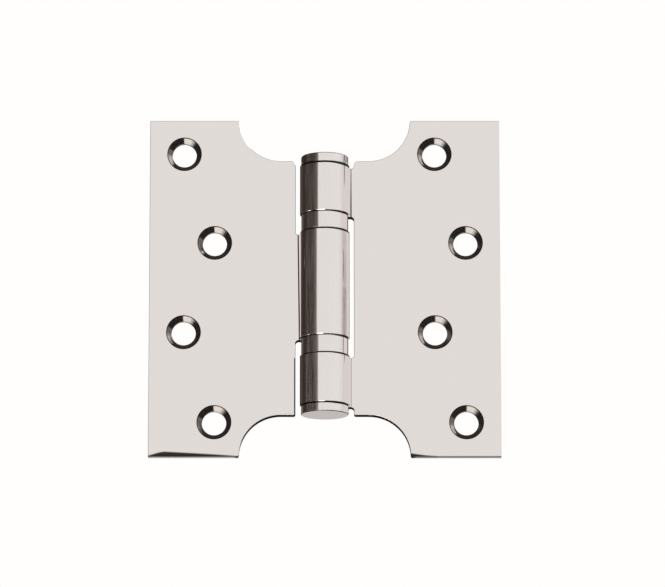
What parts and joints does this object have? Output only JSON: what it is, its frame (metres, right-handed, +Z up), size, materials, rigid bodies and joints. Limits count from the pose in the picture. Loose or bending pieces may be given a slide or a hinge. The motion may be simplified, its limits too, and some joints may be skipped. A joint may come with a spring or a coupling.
{
  "type": "parliament hinge",
  "caption": "Square parliament hinge in polished stainless steel: scalloped leaves rolled into knuckles round a pin, with thrust ball bearings between the knuckles.",
  "frame": {"origin": "middle of the pin's axis, which is also the middle of the hinge's box with the leaves opened flat", "axes": "+Z up the pin, +X towards the frame leaf's outer edge, +Y out of the leaves' flat backs, so the countersunk fronts face -Y"},
  "size_m": [0.1026, 0.0144, 0.1004],
  "materials": {
    "polished_leaf": "polished stainless steel sheet",
    "turned_cap": "polished stainless steel, turned face",
    "bearing_ring": "polished stainless steel ring",
    "ground_steel": "ground steel, lightly oiled",
    "ball_steel": "hardened steel balls",
    "cage_nylon": "natural nylon"
  },
  "bodies": {
    "frame_side": {"frame_leaf": "polished_leaf", "hinge_pin": "ground_steel", "top_cap": "turned_cap", "bottom_cap": "turned_cap", "upper_bearing_casing": "bearing_ring", "lower_bearing_casing": "bearing_ring", "upper_outer_race": "ground_steel", "lower_outer_race": "ground_steel"},
    "door_side": {"door_leaf": "polished_leaf", "upper_inner_race": "ground_steel", "lower_inner_race": "ground_steel"},
    "upper_cage": {"upper_ball_cage": "cage_nylon", "upper_ball_1": "ball_steel", "upper_ball_2": "ball_steel", "upper_ball_3": "ball_steel", "upper_ball_4": "ball_steel", "upper_ball_5": "ball_steel", "upper_ball_6": "ball_steel", "upper_ball_7": "ball_steel", "upper_ball_8": "ball_steel"},
    "lower_cage": {"lower_ball_cage": "cage_nylon", "lower_ball_1": "ball_steel", "lower_ball_2": "ball_steel", "lower_ball_3": "ball_steel", "lower_ball_4": "ball_steel", "lower_ball_5": "ball_steel", "lower_ball_6": "ball_steel", "lower_ball_7": "ball_steel", "lower_ball_8": "ball_steel"}
  },
  "joints": [
    {"name": "door_leaf_swing", "type": "hinge", "parent": "frame_side", "child": "door_side", "pos_m": [0, 0, 0], "axis": [0, 0, 1], "range_deg": [-112, 180]},
    {"name": "upper_cage_turn", "type": "hinge", "parent": "frame_side", "child": "upper_cage", "pos_m": [0, 0, 0], "axis": [0, 0, 1], "range_deg": [-56, 90]},
    {"name": "lower_cage_turn", "type": "hinge", "parent": "frame_side", "child": "lower_cage", "pos_m": [0, 0, 0], "axis": [0, 0, 1], "range_deg": [-56, 90]}
  ],
  "couplings": [
    {"joint": "upper_cage_turn", "follows": "door_leaf_swing", "ratio": 0.5},
    {"joint": "lower_cage_turn", "follows": "door_leaf_swing", "ratio": 0.5}
  ]
}
